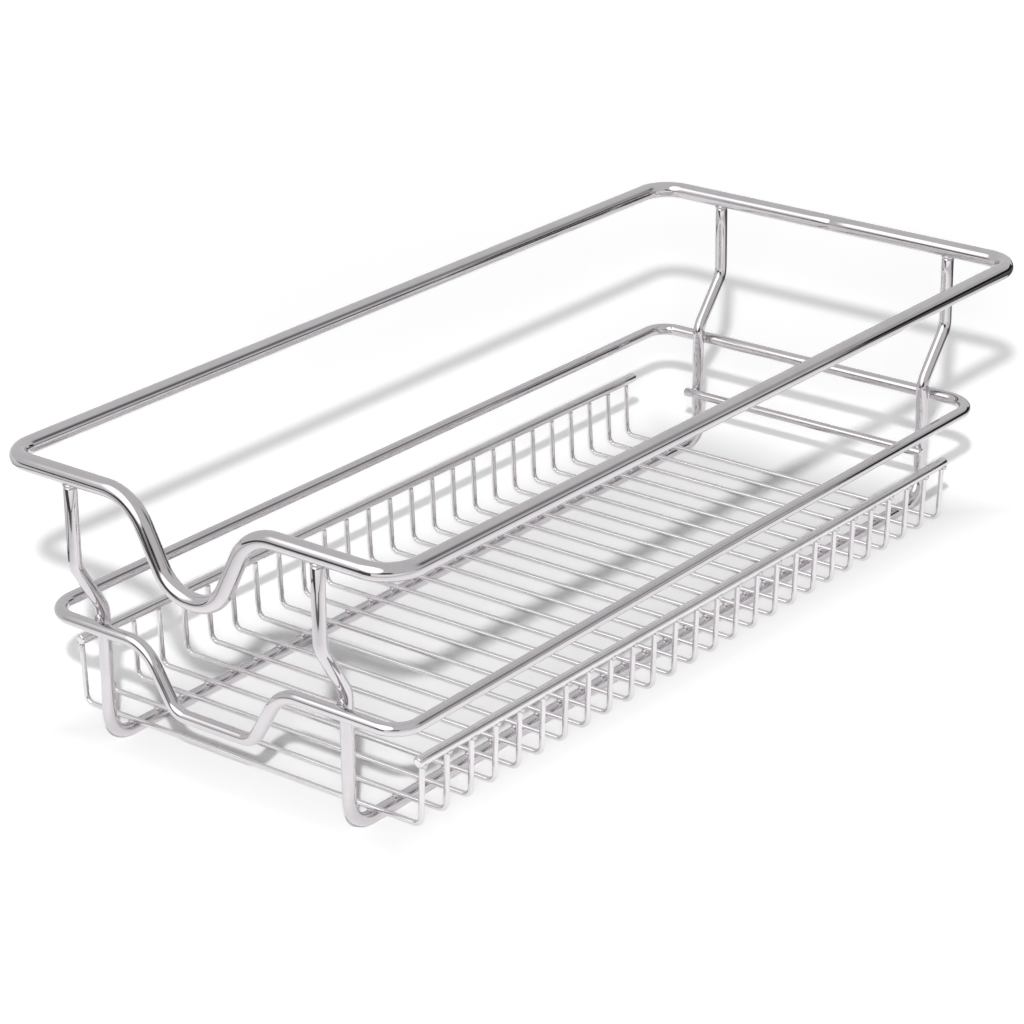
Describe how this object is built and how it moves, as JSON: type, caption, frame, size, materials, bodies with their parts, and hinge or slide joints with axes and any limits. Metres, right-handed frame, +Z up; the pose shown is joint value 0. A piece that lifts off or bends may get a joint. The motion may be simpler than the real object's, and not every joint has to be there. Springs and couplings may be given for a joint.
{
  "type": "pull-out cabinet basket",
  "caption": "Chrome-plated wire basket that slides out of a cabinet: open top, two rims with a handle dip in front, stepped legs and a low-sided wire floor.",
  "frame": {"origin": "under the middle of the basket, on the surface that its runners stand on", "axes": "+X to the right seen from the handle end, +Y from the handle end to the rear, +Z up"},
  "size_m": [0.222, 0.48, 0.134],
  "materials": {
    "chrome_wire": "polished chrome plate on drawn steel wire",
    "fine_wire": "chrome plate on thin steel wire, a little softer in gloss"
  },
  "bodies": {
    "root": {"top_rim": "chrome_wire", "mid_rim": "chrome_wire", "left_side_frame": "chrome_wire", "right_side_frame": "chrome_wire", "rear_cross_wire": "chrome_wire", "left_side_rail": "fine_wire", "right_side_rail": "fine_wire", "floor_wire_01": "fine_wire", "floor_wire_02": "fine_wire", "floor_wire_03": "fine_wire", "floor_wire_04": "fine_wire", "floor_wire_05": "fine_wire", "floor_wire_06": "fine_wire", "floor_wire_07": "fine_wire", "floor_wire_08": "fine_wire", "floor_wire_09": "fine_wire", "floor_wire_10": "fine_wire", "floor_wire_11": "fine_wire", "floor_wire_12": "fine_wire", "floor_wire_13": "fine_wire", "floor_wire_14": "fine_wire", "floor_wire_15": "fine_wire", "floor_wire_16": "fine_wire", "floor_wire_17": "fine_wire", "floor_wire_18": "fine_wire", "floor_wire_19": "fine_wire", "floor_wire_20": "fine_wire", "floor_wire_21": "fine_wire", "floor_wire_22": "fine_wire", "floor_wire_23": "fine_wire", "floor_wire_24": "fine_wire", "floor_wire_25": "fine_wire", "floor_wire_26": "fine_wire"}
  },
  "joints": []
}
